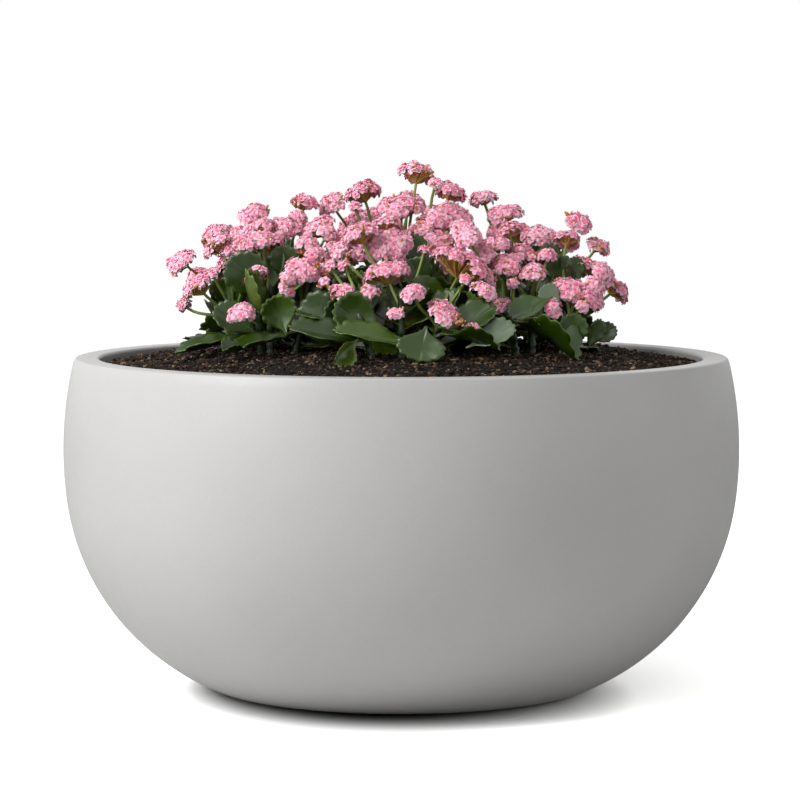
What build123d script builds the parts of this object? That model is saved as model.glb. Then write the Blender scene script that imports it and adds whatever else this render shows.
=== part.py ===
from build123d import *
from math import atan2, ceil, cos, pi, radians, sin, sqrt, tan
import os

os.makedirs("parts", exist_ok=True)

# Bowl, one fibreglass moulding
bowl_radius = 457  # at the belly, the widest line
bowl_height = 450
belly_height = 324
side_radius = 520  # arc of the side, above and below the belly
side_turn = 7.5  # degrees of that arc below the belly
base_radius = 248  # outer edge of the flat foot ring
wall = 6
rim_width = 34
lip_depth = 42  # the rim is turned down inside by this much
rim_chamfer = 3
recess_radius = 212  # the bottom panel is raised inside the foot ring
recess_depth = 5
band_length = 29  # the wall's arcs are drawn in straight bands this long

# Drain hole and its rubber plug
drain_radius = 12.5
plug_flange_radius = 20
plug_flange = 3
plug_barb_radius = 14
plug_barb = 7
plug_sides = 16

# Fill
fit_gap = 0.3  # between soft fill and whatever it lies against
fill_sides = 24  # the soft fill is drawn with this many sides
gravel_depth = 44
gravel_edge = 3
fabric_thickness = 1.5
soil_edge_drop = 11  # soil below the rim, at the lip
soil_mound = 23  # rise of the soil from the lip to its flat top
soil_slope = 140  # width of that rise
soil_levels = [150, 260]  # heights at which the soil meets the wall

# Plants
plant_ring = 200  # six plants stand on this radius round the middle one
ball_radius = 54
ball_height = 92
ball_chamfer = 10
ball_sides = 10
ball_sink = 3  # top of the root ball below the soil round it
stem_radius = 6
stem_height = 70
leaf_thickness = 1.6
leaf_fold = 16  # degrees that each half of a leaf is raised
leaf_outline = [(0, 0), (0.5, 0.47), (0.86, 0.38), (1, 0)]
stalk_radius = 2.5
stalk_sides = 3
stalk_foot = 30  # height at which the flower stalks leave the stem
head_height = 0.42  # of the head's width
head_sides = 6
head_chamfer = 0.22  # of the head's width
head_lean = 150  # a head reaching this far out leans by 45 degrees

# Tiers of leaves: how many, height on the stem, lift in degrees, length, width
leaf_tiers = [
    (5, 9, 10, 88, 64),
    (4, 28, 22, 72, 52),
    (3, 46, 48, 62, 44),
]

# Each plant: bearing on the ring (none for the middle one), first leaf's bearing,
# and its flower heads as offset x, offset y, rise above the soil and width
plants = {
    "centre": (None, 20, [
        (-66, -50, 156, 62), (0, -4, 197, 64), (23, 40, 240, 50), (70, 44, 213, 40),
        (76, 0, 183, 58), (42, -54, 159, 62), (-118, 0, 165, 46), (-55, 50, 214, 51),
        (-18, -110, 148, 60),
    ]),
    "front": (-90, 42, [
        (-18, 20, 116, 62), (86, 50, 122, 84), (-44, -8, 89, 26),
        (-81, 10, 87, 36), (19, -41, 90, 32), (58, -40, 65, 46), (-4, -50, 62, 17),
        (94, -42, 41, 18), (112, 0, 87, 38),
    ]),
    "front_right": (-30, 84, [
        (-40, 22, 123, 46), (8, 62, 124, 48), (64, -17, 86, 70), (3, -20, 112, 33),
        (24, -66, 66, 28), (52, 70, 151, 36), (-30, 74, 162, 36), (75, 50, 117, 36),
        (116, 40, 88, 42), (-44, -34, 70, 28),
    ]),
    "back_right": (30, 40, [
        (-34, -40, 184, 48), (18, -50, 155, 50), (71, -30, 173, 42), (99, -30, 139, 36),
        (104, -70, 105, 38), (-63, 10, 204, 36), (42, 50, 144, 52), (-13, 75, 153, 50),
        (80, 20, 108, 46),
    ]),
    "back": (90, 18, [
        (9, -70, 199, 40), (-100, -70, 195, 42), (-60, -10, 173, 58), (60, -10, 178, 58),
        (0, 30, 143, 58), (-85, 35, 113, 50), (85, 35, 115, 50), (0, 84, 98, 46),
    ]),
    "back_left": (150, 2, [
        (-130, -60, 120, 44), (-30, -40, 183, 46), (16, -70, 164, 50), (41, 10, 198, 38),
        (-85, 15, 153, 50), (-25, 60, 153, 52), (-70, 80, 108, 44), (-115, 45, 93, 36),
    ]),
    "front_left": (210, 66, [
        (-99, 0, 92, 46), (-38, -60, 60, 34), (-17, -20, 109, 30), (54, -30, 115, 62),
        (24, -56, 93, 24), (-3, 60, 145, 42), (-72, 40, 146, 44), (-34, 10, 149, 36),
        (-119, 26, 65, 22),
    ]),
}

# The wall's outline: the side's arc, then a foot arc tangent to it that ends on the base
turn = radians(side_turn)
side_centre = (bowl_radius - side_radius, belly_height)
turn_point = (side_centre[0] + side_radius * cos(turn), belly_height - side_radius * sin(turn))
run, rise = turn_point[0] - base_radius, turn_point[1]
foot_radius = (run**2 + rise**2) / (2 * (run * cos(turn) - rise * sin(turn)))
foot_centre = (turn_point[0] - foot_radius * cos(turn), turn_point[1] + foot_radius * sin(turn))
base_angle = atan2(-foot_centre[1], base_radius - foot_centre[0])
rim_radius = side_centre[0] + sqrt(side_radius**2 - (bowl_height - belly_height) ** 2)
rim_angle = atan2(bowl_height - belly_height, rim_radius - side_centre[0])


def arc_points(centre, radius, start, end):
    bands = ceil(radius * abs(end - start) / band_length)
    angles = [start + (end - start) * k / bands for k in range(bands + 1)]
    return [(centre[0] + radius * cos(a), centre[1] + radius * sin(a)) for a in angles]


def wall_line(inset):
    # Points of the wall from foot to rim, this far inside its outer face
    foot = arc_points(foot_centre, foot_radius - inset, base_angle, -turn)
    return foot[:-1] + arc_points(side_centre, side_radius - inset, -turn, rim_angle)


def radius_at(line, z):
    for (r0, z0), (r1, z1) in zip(line, line[1:]):
        if z <= z1:
            return r0 + (r1 - r0) * (z - z0) / (z1 - z0)
    return line[-1][0]


def between(line, low, high):
    inside = [point for point in line if low < point[1] < high]
    return [(radius_at(line, low), low), *inside, (radius_at(line, high), high)]


soil_top = bowl_height - soil_edge_drop + soil_mound
places = {}
for name, (bearing, _, _) in plants.items():
    out = 0 if bearing is None else plant_ring
    places[name] = Vector(out, 0, soil_top).rotate(Axis.Z, bearing or 0)

outer_line = wall_line(0)
inner_line = wall_line(wall)
fill_line = wall_line(wall + fit_gap)
lip_radius = rim_radius - rim_width
panel_edge = recess_radius - recess_depth
bend = wall * tan(radians(22.5))  # the panel's corners, moved in by the wall
floor_height = recess_depth + wall

with BuildPart() as bowl_shell:
    with BuildSketch(Plane.XZ):
        with BuildLine():
            Polyline(
                (0, recess_depth),
                (panel_edge, recess_depth),
                (recess_radius, 0),
                *outer_line,
                (lip_radius, bowl_height),
                (lip_radius, bowl_height - lip_depth),
                (lip_radius + wall, bowl_height - lip_depth),
                (lip_radius + wall, bowl_height - wall),
                *reversed(between(inner_line, wall, bowl_height - wall)),
                (recess_radius - bend, wall),
                (panel_edge - bend, floor_height),
                (0, floor_height),
                close=True,
            )
        make_face()
    revolve(axis=Axis.Z)
    chamfer(bowl_shell.edges().filter_by(GeomType.CIRCLE).group_by(Axis.Z)[-1], rim_chamfer)
    with BuildSketch(Plane.XY):
        Circle(drain_radius)
    extrude(amount=floor_height, mode=Mode.SUBTRACT)
bowl_shell.part.label = "bowl_shell"
export_step(bowl_shell.part, "parts/bowl_shell.step")

# The plug's flange lies under the panel and its barb grips the panel from above
with BuildPart() as drain_plug:
    with BuildSketch(Plane.XY.offset(recess_depth - plug_flange)):
        RegularPolygon(plug_flange_radius, plug_sides)
    extrude(amount=plug_flange)
    with BuildSketch(Plane.XY.offset(recess_depth)):
        RegularPolygon(drain_radius - fit_gap, plug_sides)
    extrude(amount=wall)
    with BuildSketch(Plane.XY.offset(floor_height)):
        RegularPolygon(plug_barb_radius, plug_sides)
    extrude(amount=plug_barb)
    chamfer(drain_plug.edges().group_by(Axis.Z)[-1], plug_barb / 2)
drain_plug.part.label = "drain_plug"
export_step(drain_plug.part, "parts/drain_plug.step")

# Gravel lies on the bottom panel, round the plug's barb
flat_share = cos(pi / fill_sides)  # of the radius, from the middle to a flat side
gravel_top = floor_height + gravel_depth
gravel_foot = gravel_depth - gravel_edge
gravel_radius = radius_at(fill_line, floor_height + gravel_foot)
with BuildPart() as gravel_layer:
    with BuildSketch(Plane.XY.offset(floor_height)):
        RegularPolygon(gravel_radius, fill_sides)
    extrude(amount=gravel_depth)
    bottom = gravel_layer.faces().sort_by(Axis.Z)[0]
    chamfer(
        bottom.edges(),
        (gravel_radius - radius_at(fill_line, floor_height)) * flat_share,
        gravel_foot,
        reference=bottom,
    )
    with BuildSketch(Plane.XY.offset(floor_height)):
        RegularPolygon(plug_barb_radius + fit_gap, plug_sides)
    extrude(amount=plug_barb + fit_gap, mode=Mode.SUBTRACT)
gravel_layer.part.label = "gravel_layer"
export_step(gravel_layer.part, "parts/gravel_layer.step")

fabric_top = gravel_top + fabric_thickness
with BuildPart() as filter_fabric:
    with BuildSketch(Plane.XY.offset(gravel_top)):
        RegularPolygon(gravel_radius, fill_sides)
    extrude(amount=fabric_thickness)
filter_fabric.part.label = "filter_fabric"
export_step(filter_fabric.part, "parts/filter_fabric.step")

# Soil: it follows the wall up to the lip, then mounds up to a flat top
soil_radius = lip_radius - fit_gap
under_lip = bowl_height - lip_depth - fit_gap
levels = [fabric_top, *soil_levels]
soil_steps = []
for low, high in zip(levels, soil_levels):
    with BuildPart() as step:
        high_radius = min(radius_at(fill_line, high), radius_at(fill_line, under_lip))
        with BuildSketch(Plane.XY.offset(low)):
            RegularPolygon(high_radius, fill_sides)
        extrude(amount=under_lip - low)
        bottom = step.faces().sort_by(Axis.Z)[0]
        narrowing = high_radius - radius_at(fill_line, low)
        chamfer(bottom.edges(), narrowing * flat_share, high - low, reference=bottom)
    soil_steps.append(step.part)

with BuildPart() as potting_soil:
    add(soil_steps)
    with BuildSketch(Plane.XY.offset(under_lip)):
        RegularPolygon(soil_radius, fill_sides)
    extrude(amount=soil_top - under_lip)
    top = potting_soil.faces().sort_by(Axis.Z)[-1]
    chamfer(top.edges(), soil_slope, soil_mound, reference=top)
    with BuildSketch(Plane.XY.offset(soil_top)):
        with Locations(*[(place.X, place.Y) for place in places.values()]):
            RegularPolygon(ball_radius + fit_gap, ball_sides)
    extrude(amount=-ball_sink - ball_height, mode=Mode.SUBTRACT)
potting_soil.part.label = "potting_soil"
export_step(potting_soil.part, "parts/potting_soil.step")


for name, (_, first_leaf, heads) in plants.items():
    foot = places[name]
    ball_top = foot - Vector(0, 0, ball_sink)
    lean = [Vector(x, y, head_lean).normalized() for x, y, _, _ in heads]
    tips = [
        foot + Vector(x, y, up) - axis * (head_height * width / 2)
        for (x, y, up, width), axis in zip(heads, lean)
    ]

    with BuildPart() as roots:
        with BuildSketch(Plane.XY.offset(ball_top.Z)):
            with Locations((foot.X, foot.Y)):
                RegularPolygon(ball_radius, ball_sides)
        extrude(amount=-ball_height)
        chamfer(roots.edges().group_by(Axis.Z)[0], ball_chamfer)
    roots.part.label = f"{name}_roots"
    export_step(roots.part, f"parts/{name}_roots.step")

    with BuildPart() as leaves:
        with BuildSketch(Plane(ball_top)):
            RegularPolygon(stem_radius, head_sides)
        extrude(amount=ball_sink + stem_height)
        bearing = first_leaf
        for count, height, lift, length, width in leaf_tiers:
            for k in range(count):
                out = Vector(1, 0, 0).rotate(Axis.Z, bearing)
                up = Vector(0, 0, 1)
                along = out * cos(radians(lift)) + up * sin(radians(lift))
                normal = up * cos(radians(lift)) - out * sin(radians(lift))
                midrib = Axis((0, 0, 0), along)
                for side in (1, -1):
                    raised = normal.rotate(midrib, side * leaf_fold)
                    with BuildSketch(Plane(foot + up * height, along, raised)):
                        with BuildLine():
                            outline = [(x * length, side * y * width) for x, y in leaf_outline]
                            Polyline(*outline, close=True)
                        make_face()
                bearing += 360 / count
            bearing += 180 / count
        extrude(amount=leaf_thickness)
        for tip, axis in zip(tips, lean):
            start = foot + Vector(0, 0, stalk_foot)
            way = tip - start
            cosine = way.normalized().dot(axis)
            stop = stalk_radius * sqrt(1 - cosine**2) + fit_gap
            with BuildSketch(Plane(start, z_dir=way)):
                RegularPolygon(stalk_radius, stalk_sides)
            extrude(amount=way.length - stop)
    leaves.part.label = f"{name}_leaves"
    export_step(leaves.part, f"parts/{name}_leaves.step")

    with BuildPart() as flowers:
        for tip, axis, (_, _, _, width) in zip(tips, lean, heads):
            with BuildSketch(Plane(tip, z_dir=axis)):
                RegularPolygon(width / 2, head_sides)
            extrude(amount=head_height * width)
            top = flowers.faces(Select.LAST).sort_by(Axis(tip, axis))[-1]
            chamfer(top.edges(), head_chamfer * width)
    flowers.part.label = f"{name}_flowers"
    export_step(flowers.part, f"parts/{name}_flowers.step")
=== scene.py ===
import math
import random
import bmesh
import bpy
import numpy as np
from mathutils import Matrix, Vector
from mathutils.bvhtree import BVHTree


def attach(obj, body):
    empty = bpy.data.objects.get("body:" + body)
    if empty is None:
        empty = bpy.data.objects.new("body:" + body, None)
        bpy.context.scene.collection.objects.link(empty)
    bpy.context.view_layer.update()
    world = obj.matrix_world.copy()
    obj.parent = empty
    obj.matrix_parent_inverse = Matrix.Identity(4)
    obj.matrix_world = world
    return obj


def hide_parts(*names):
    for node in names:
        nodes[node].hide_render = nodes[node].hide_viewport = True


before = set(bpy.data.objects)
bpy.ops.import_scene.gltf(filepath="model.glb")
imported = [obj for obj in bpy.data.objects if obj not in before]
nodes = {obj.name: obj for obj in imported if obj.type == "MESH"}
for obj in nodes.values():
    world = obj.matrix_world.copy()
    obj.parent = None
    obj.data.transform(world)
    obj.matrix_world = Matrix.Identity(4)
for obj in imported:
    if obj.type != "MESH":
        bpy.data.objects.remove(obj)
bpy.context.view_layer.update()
millimetre = 0.001
plantNames = ["centre", "front", "front_right", "back_right", "back", "back_left", "front_left"]


# small helpers
def only(*pieces):
    # nothing else stays selected
    bpy.ops.object.select_all(action="DESELECT")
    for piece in pieces:
        piece.select_set(True)
    if pieces:
        bpy.context.view_layer.objects.active = pieces[0]


def editing(piece):
    only(piece)
    bpy.ops.object.mode_set(mode="EDIT")
    bpy.ops.mesh.select_all(action="SELECT")


def doneEditing():
    bpy.ops.object.mode_set(mode="OBJECT")


def applied(piece, kind, **settings):
    # adds a modifier and applies it
    only(piece)
    modifier = piece.modifiers.new(kind.title(), kind)
    for key, value in settings.items():
        setattr(modifier, key, value)
    bpy.ops.object.modifier_apply(modifier=modifier.name)


def placed(piece):
    only(piece)
    bpy.ops.object.transform_apply(location=True, rotation=True, scale=True)


def finished(piece, slot, material, *replaced):
    # hangs a piece on the planter and gives it its finish
    piece.data.materials.clear()
    piece.data.materials.append(material)
    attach(piece, "root")
    if replaced:
        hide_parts(*replaced)
    return piece


def copiesOf(name, template, places, tints=None):
    # one mesh that holds a copy of the template at every place
    base = template.data
    count, corners = len(places), len(base.vertices)
    flat = np.empty(corners * 3)
    base.vertices.foreach_get("co", flat)
    local = np.c_[flat.reshape(-1, 3), np.ones(corners)]
    spots = np.array([np.array(place) for place in places])
    points = np.einsum("nij,vj->nvi", spots, local)[:, :, :3].reshape(-1)
    loopCorner = np.empty(len(base.loops), np.int32)
    base.loops.foreach_get("vertex_index", loopCorner)
    faceStart = np.empty(len(base.polygons), np.int32)
    base.polygons.foreach_get("loop_start", faceStart)
    steps = np.arange(count, dtype=np.int32)[:, None]
    mesh = bpy.data.meshes.new(name)
    mesh.vertices.add(count * corners)
    mesh.vertices.foreach_set("co", points)
    mesh.loops.add(count * len(base.loops))
    mesh.loops.foreach_set("vertex_index", (loopCorner[None, :] + steps * corners).reshape(-1))
    mesh.polygons.add(count * len(base.polygons))
    mesh.polygons.foreach_set("loop_start", (faceStart[None, :] + steps * len(base.loops)).reshape(-1))
    mesh.update(calc_edges=True)
    for layer in base.attributes:
        if layer.domain == "POINT" and layer.data_type == "FLOAT":
            values = np.empty(corners)
            layer.data.foreach_get("value", values)
            repeated = np.tile(values, count)
            mesh.attributes.new(layer.name, "FLOAT", "POINT").data.foreach_set("value", repeated)
    if tints is not None:
        tint = mesh.attributes.new("tint", "FLOAT", "POINT")
        tint.data.foreach_set("value", np.repeat(np.array(tints, float), corners))
    mesh.polygons.foreach_set("use_smooth", [True] * len(mesh.polygons))
    mesh.validate()
    piece = bpy.data.objects.new(name, mesh)
    bpy.context.scene.collection.objects.link(piece)
    return piece


def away(piece):
    bpy.data.objects.remove(piece)


def basis(origin, along, up, scale=(1, 1, 1)):
    # a matrix with its x axis along one way and its z axis near another
    x = Vector(along).normalized()
    y = Vector(up).cross(x).normalized()
    z = x.cross(y)
    turn = Matrix((x, y, z)).transposed().to_4x4()
    return Matrix.Translation(origin) @ turn @ Matrix.Diagonal((*scale, 1))


# materials
def shader(name, roughness, **sockets):
    material = bpy.data.materials.new(name)
    material.use_nodes = True
    surface = material.node_tree.nodes["Principled BSDF"]
    surface.inputs["Roughness"].default_value = roughness
    for socket, value in sockets.items():
        surface.inputs[socket.replace("_", " ")].default_value = value
    return material, material.node_tree, surface


def node(tree, kind, **settings):
    made = tree.nodes.new("ShaderNode" + kind)
    for key, value in settings.items():
        if key in made.bl_rna.properties:
            setattr(made, key, value)
        else:
            made.inputs[key.replace("_", " ")].default_value = value
    return made


def mixed(tree, factor, first, second, how="MIX"):
    # mixes two colours, each a colour or another node's output
    mix = tree.nodes.new("ShaderNodeMix")
    mix.data_type = "RGBA"
    mix.blend_type = how
    for socket, value in ((0, factor), (6, first), (7, second)):
        if isinstance(value, bpy.types.NodeSocket):
            tree.links.new(value, mix.inputs[socket])
        else:
            mix.inputs[socket].default_value = value
    return mix.outputs[2]


def ramped(tree, source, *stops):
    ramp = tree.nodes.new("ShaderNodeValToRGB")
    while len(ramp.color_ramp.elements) < len(stops):
        ramp.color_ramp.elements.new(0.5)
    for element, (place, colour) in zip(ramp.color_ramp.elements, stops):
        element.position = place
        element.color = colour if isinstance(colour, tuple) else (colour, colour, colour, 1)
    tree.links.new(source, ramp.inputs[0])
    return ramp.outputs[0]


def grain(tree, scale, detail=3, roughness=0.5, kind="TexNoise"):
    place = tree.nodes.get("Place") or tree.nodes.new("ShaderNodeTexCoord")
    place.name = "Place"
    texture = tree.nodes.new("ShaderNode" + kind)
    texture.inputs["Scale"].default_value = scale
    if kind == "TexNoise":
        texture.inputs["Detail"].default_value = detail
        texture.inputs["Roughness"].default_value = roughness
    tree.links.new(place.outputs["Object"], texture.inputs["Vector"])
    return texture.outputs[0]


def bumped(tree, surface, source, strength, distance):
    bump = tree.nodes.new("ShaderNodeBump")
    bump.inputs["Strength"].default_value = strength
    bump.inputs["Distance"].default_value = distance
    tree.links.new(source, bump.inputs["Height"])
    tree.links.new(bump.outputs[0], surface.inputs["Normal"])


def attribute(tree, name):
    return node(tree, "Attribute", attribute_name=name).outputs["Fac"]


def rgb(red, green, blue):
    # a colour given as it looks on screen, 0 to 255
    linear = [((level / 255 + 0.055) / 1.055) ** 2.4 if level > 10 else level / 3294
              for level in (red, green, blue)]
    return (*linear, 1)


def speckled(name, roughness, size, dark, light, bumps):
    # a plain skin between two colours, with the scale, detail, strength and distance of its bumps
    material, tree, surface = shader(name, roughness)
    colour = ramped(tree, grain(tree, size), (0.3, rgb(*dark)), (0.7, rgb(*light)))
    tree.links.new(colour, surface.inputs["Base Color"])
    scale, detail, strength, distance = bumps
    bumped(tree, surface, grain(tree, scale, detail), strength, distance)
    return material


def satinFibreglass():
    material, tree, surface = shader("satinFibreglass", 0.42)
    cloud = ramped(tree, grain(tree, 5, 4), (0.3, rgb(196, 195, 194)), (0.7, rgb(201, 200, 198)))
    fine = grain(tree, 420, 2)
    colour = mixed(tree, 0.05, cloud, ramped(tree, fine, (0.35, 0.35), (0.65, 0.8)), "OVERLAY")
    tree.links.new(colour, surface.inputs["Base Color"])
    tree.links.new(ramped(tree, grain(tree, 60, 3), (0.3, 0.38), (0.7, 0.48)), surface.inputs["Roughness"])
    bumped(tree, surface, fine, 0.12, 0.0002)
    return material


def blackRubber():
    return speckled("plugRubber", 0.7, 90, (34, 34, 35), (52, 51, 50), (900, 2, 0.2, 0.0002))


def drainStone():
    return speckled("drainStone", 0.85, 70, (96, 92, 86), (150, 144, 134), (120, 3, 0.6, 0.003))


def filterCloth():
    return speckled("filterCloth", 0.95, 600, (52, 53, 54), (84, 85, 86), (1500, 2, 0.3, 0.0003))


def soilEarth():
    material, tree, surface = shader("pottingEarth", 0.93, Specular_IOR_Level=0.25)
    clumps = ramped(tree, grain(tree, 55, 6, 0.7), (0.32, rgb(3, 2, 2)), (0.5, rgb(9, 7, 5)),
                    (0.68, rgb(26, 19, 14)))
    specks = ramped(tree, grain(tree, 330, 4, 0.6), (0.66, 0.0), (0.72, 1.0))
    colour = mixed(tree, specks, clumps, rgb(134, 108, 84))
    tree.links.new(colour, surface.inputs["Base Color"])
    bumped(tree, surface, grain(tree, 420, 5, 0.7), 0.8, 0.002)
    return material


def soilCrumb():
    material, tree, surface = shader("earthCrumbs", 0.9, Specular_IOR_Level=0.3)
    tone = ramped(tree, attribute(tree, "tint"), (0.0, rgb(10, 7, 5)), (0.3, rgb(50, 36, 27)),
                  (0.66, rgb(94, 73, 57)), (0.9, rgb(166, 140, 112)), (1.0, rgb(222, 206, 178)))
    worn = ramped(tree, grain(tree, 700, 3), (0.3, 0.35), (0.7, 0.7))
    tree.links.new(mixed(tree, 0.5, tone, worn, "OVERLAY"), surface.inputs["Base Color"])
    bumped(tree, surface, grain(tree, 900, 3), 0.5, 0.0006)
    return material


def leafGreen():
    material, tree, surface = shader("fleshyLeaf", 0.36, Specular_IOR_Level=0.45,
                                     Coat_Weight=0.2, Coat_Roughness=0.24)
    tint, rim = attribute(tree, "tint"), attribute(tree, "rim")
    young = ramped(tree, tint, (0.0, rgb(28, 50, 3)), (0.45, rgb(50, 76, 3)), (0.75, rgb(94, 118, 22)),
                   (0.9, rgb(98, 120, 84)), (1.0, rgb(114, 128, 110)))
    mottle = ramped(tree, grain(tree, 60, 4), (0.3, 0.42), (0.7, 0.60))
    skin = mixed(tree, 0.5, young, mottle, "OVERLAY")
    # painted highlight along the margin: the outermost edge of every leaf is mixed up to a third of the way
    # to a pale green, partly the leaf's own paler edge and partly light caught along the edges
    edge = ramped(tree, rim, (0.97, 0.0), (1.0, 0.35))
    tree.links.new(mixed(tree, edge, skin, rgb(124, 146, 62)), surface.inputs["Base Color"])
    tree.links.new(ramped(tree, grain(tree, 40, 4), (0.3, 0.24), (0.7, 0.44)), surface.inputs["Roughness"])
    bumped(tree, surface, grain(tree, 260, 3), 0.15, 0.0006)
    return material


def stalkGreen():
    return speckled("flowerStalk", 0.45, 30, (104, 134, 52), (146, 160, 82), (400, 2, 0.1, 0.0004))


def twigOlive():
    material, tree, surface = shader("branchingTwigs", 0.55)
    colour = ramped(tree, grain(tree, 45, 3), (0.3, rgb(170, 118, 58)), (0.55, rgb(188, 146, 76)),
                    (0.75, rgb(180, 162, 88)))
    tree.links.new(colour, surface.inputs["Base Color"])
    bumped(tree, surface, grain(tree, 500, 2), 0.1, 0.0004)
    return material


def petalPink():
    material, tree, surface = shader("petalPink", 0.55, Specular_IOR_Level=0.25, Subsurface_Weight=0.75,
                                     Subsurface_Radius=(1.0, 0.75, 0.85), Subsurface_Scale=0.004)
    surface.subsurface_method = "BURLEY"
    reach, tint = attribute(tree, "reach"), attribute(tree, "tint")
    pink = ramped(tree, reach, (0.0, rgb(246, 106, 146)), (0.3, rgb(255, 154, 188)),
                  (0.7, rgb(255, 186, 210)), (1.0, rgb(255, 222, 236)))
    pale = ramped(tree, reach, (0.0, rgb(250, 144, 166)), (0.35, rgb(255, 198, 216)),
                  (1.0, rgb(255, 238, 246)))
    colour = mixed(tree, tint, pink, pale)
    streak = ramped(tree, grain(tree, 300, 3), (0.3, 0.42), (0.7, 0.58))
    tree.links.new(mixed(tree, 0.5, colour, streak, "OVERLAY"), surface.inputs["Base Color"])
    return material


def budPeach():
    material, tree, surface = shader("closedBuds", 0.5)
    tone = ramped(tree, attribute(tree, "tint"), (0.0, rgb(170, 126, 60)), (0.3, rgb(208, 150, 94)),
                  (0.6, rgb(238, 172, 136)), (1.0, rgb(244, 146, 162)))
    spread = ramped(tree, grain(tree, 250, 3), (0.3, 0.42), (0.7, 0.58))
    tree.links.new(mixed(tree, 0.5, tone, spread, "OVERLAY"), surface.inputs["Base Color"])
    return material


fibreglass, rubber, earth, crumbEarth = satinFibreglass(), blackRubber(), soilEarth(), soilCrumb()
stone, cloth = drainStone(), filterCloth()
leafSkin, stalkSkin, twigSkin = leafGreen(), stalkGreen(), twigOlive()
petalSkin, budSkin = petalPink(), budPeach()
print("materials ready")

# the bowl
bowl = {
    "bellyRadius": 0.457,
    "height": 0.450,
    "bellyHeight": 0.324,
    "sideRadius": 0.520,
    "sideTurn": 7.5,
    "footRadius": 0.248,
    "wall": 0.006,
    "rimWidth": 0.034,
    "lipDepth": 0.042,
    "edgeRound": 0.0045,
    "edgeLap": 0.0004,
    "footSoften": 0.003,
    "panelRadius": 0.212,
    "panelRise": 0.005,
    "panelSoften": 0.001,
    "drainRadius": 0.0125,
    "crease": 38,
    "steps": 256,
}


def arcPoints(centre, radius, start, end, count):
    angles = [start + (end - start) * k / count for k in range(count + 1)]
    return [(centre[0] + radius * math.cos(a), centre[1] + radius * math.sin(a)) for a in angles]


def wallArcs(inset, sideCount, footCount, topHeight):
    # points of the wall from foot to rim, this far inside its outer face
    turn = math.radians(bowl["sideTurn"])
    side = (bowl["bellyRadius"] - bowl["sideRadius"], bowl["bellyHeight"])
    joint = (side[0] + bowl["sideRadius"] * math.cos(turn), side[1] - bowl["sideRadius"] * math.sin(turn))
    run, rise = joint[0] - bowl["footRadius"], joint[1]
    footArc = (run**2 + rise**2) / (2 * (run * math.cos(turn) - rise * math.sin(turn)))
    foot = (joint[0] - footArc * math.cos(turn), joint[1] + footArc * math.sin(turn))
    low = math.atan2(-foot[1], bowl["footRadius"] - foot[0])
    radius = bowl["sideRadius"] - inset
    high = math.asin((topHeight - side[1]) / radius)
    lower = arcPoints(foot, footArc - inset, low, -turn, footCount)
    return lower[:-1] + arcPoints(side, radius, -turn, high, sideCount)


def radiusAt(line, height):
    for (r0, z0), (r1, z1) in zip(line, line[1:]):
        if height <= z1:
            return r0 + (r1 - r0) * (height - z0) / (z1 - z0)
    return line[-1][0]


def spun(name, profile, steps, closed):
    # draws a profile by extruding one corner along it, then spins it round the middle
    bpy.ops.mesh.primitive_plane_add(size=0.01)
    piece = bpy.context.object
    piece.name = name
    bpy.ops.object.mode_set(mode="EDIT")
    bpy.ops.mesh.select_all(action="SELECT")
    bpy.ops.mesh.merge(type="CENTER")
    bpy.ops.transform.translate(value=(profile[0][0], 0, profile[0][1]))
    for (r0, z0), (r1, z1) in zip(profile, profile[1:]):
        bpy.ops.mesh.extrude_region_move(TRANSFORM_OT_translate={"value": (r1 - r0, 0, z1 - z0)})
    if closed:
        bpy.ops.mesh.select_all(action="SELECT")
        bpy.ops.mesh.remove_doubles(threshold=1e-6)
    bpy.ops.mesh.select_all(action="SELECT")
    bpy.ops.mesh.spin(steps=steps, angle=math.tau, center=(0, 0, 0), axis=(0, 0, 1))
    bpy.ops.mesh.select_all(action="SELECT")
    bpy.ops.mesh.remove_doubles(threshold=1e-5)
    bpy.ops.mesh.select_all(action="SELECT")
    bpy.ops.mesh.normals_make_consistent(inside=False)
    doneEditing()
    return piece


def bowlProfile():
    outer = wallArcs(0, 26, 44, bowl["height"])
    top, wall, soften = bowl["height"], bowl["wall"], bowl["edgeRound"]
    rimRadius = outer[-1][0]
    lipRadius = rimRadius - bowl["rimWidth"]
    trimmed = [p for p in outer if p[1] < top - soften * 1.2]
    outerEdge = arcPoints((rimRadius - soften + bowl["edgeLap"], top - soften), soften, 0.1, math.pi / 2, 6)
    innerEdge = arcPoints((lipRadius + soften, top - soften), soften, math.pi / 2, math.pi, 6)
    lipFoot = (lipRadius + wall / 2, top - bowl["lipDepth"] + wall / 2)
    lipEnd = arcPoints(lipFoot, wall / 2, math.pi, math.tau, 6)
    inner = [p for p in wallArcs(wall, 20, 34, top - wall) if p[1] > wall + 0.001]
    panel, drain = bowl["panelRadius"], bowl["drainRadius"]
    rise, ease = bowl["panelRise"], bowl["panelSoften"]
    panelEdge = panel - rise
    under = [(drain, rise), (panelEdge - 2 * ease, rise), (panelEdge + ease, rise - 1.2 * ease),
             (panel - ease, ease), (panel + 1.5 * ease, 0)]
    floor = rise + wall
    inside = [(panel - 2 * ease, wall), (panelEdge - 3 * ease, floor), (drain, floor)]
    profile = under + [(bowl["footRadius"] - bowl["footSoften"], 0)] + trimmed[1:]
    profile += outerEdge + innerEdge + lipEnd
    profile += [(lipRadius + wall, top - wall - 0.002), (lipRadius + wall + 0.002, top - wall)]
    return profile + list(reversed(inner)) + inside + [under[0]]


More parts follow.
